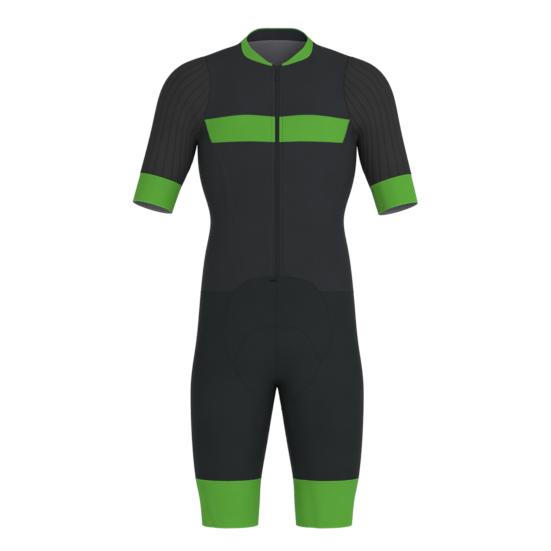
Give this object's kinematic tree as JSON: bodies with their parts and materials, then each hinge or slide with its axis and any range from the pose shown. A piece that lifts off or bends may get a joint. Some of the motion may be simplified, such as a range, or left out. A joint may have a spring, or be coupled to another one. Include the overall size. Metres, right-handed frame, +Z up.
{
  "type": "cycling skinsuit",
  "caption": "One-piece short-sleeved cycling skinsuit, hollow in its worn shape, with a front zip, low collar, ribbed sleeves, cuffs and leg grippers.",
  "frame": {"origin": "middle of the body at the height of the base of the neck, where the wearer's shoulders hold the suit up", "axes": "+X to the wearer's left, -Y to the front, +Z up along the body"},
  "size_m": [0.5968, 0.2324, 1.0505],
  "materials": {
    "black_knit": "smooth matt knit with a faint sheen",
    "black_shorts": "denser smooth knit, matt",
    "sleeve_rib": "lengthwise ribbed mesh, matt, slightly brown",
    "green_knit": "smooth knit, dyed green",
    "dark_facing": "brushed tape, matt",
    "zip_black": "moulded coil and woven tape, dull"
  },
  "bodies": {
    "root": {"back": "black_knit", "collar": "green_knit", "collar_facing": "dark_facing", "cuff_left": "green_knit", "cuff_right": "green_knit", "fly_left": "black_shorts", "fly_right": "black_shorts", "front_left": "black_knit", "front_right": "black_knit", "gripper_left": "green_knit", "gripper_right": "green_knit", "gusset_left": "black_shorts", "gusset_right": "black_shorts", "leg_left": "black_shorts", "leg_right": "black_shorts", "side_left": "black_knit", "side_right": "black_knit", "sleeve_left": "sleeve_rib", "sleeve_right": "sleeve_rib", "zip_coil": "zip_black", "zip_slider": "zip_black", "zip_stop": "zip_black", "zip_tape": "zip_black"}
  },
  "joints": []
}
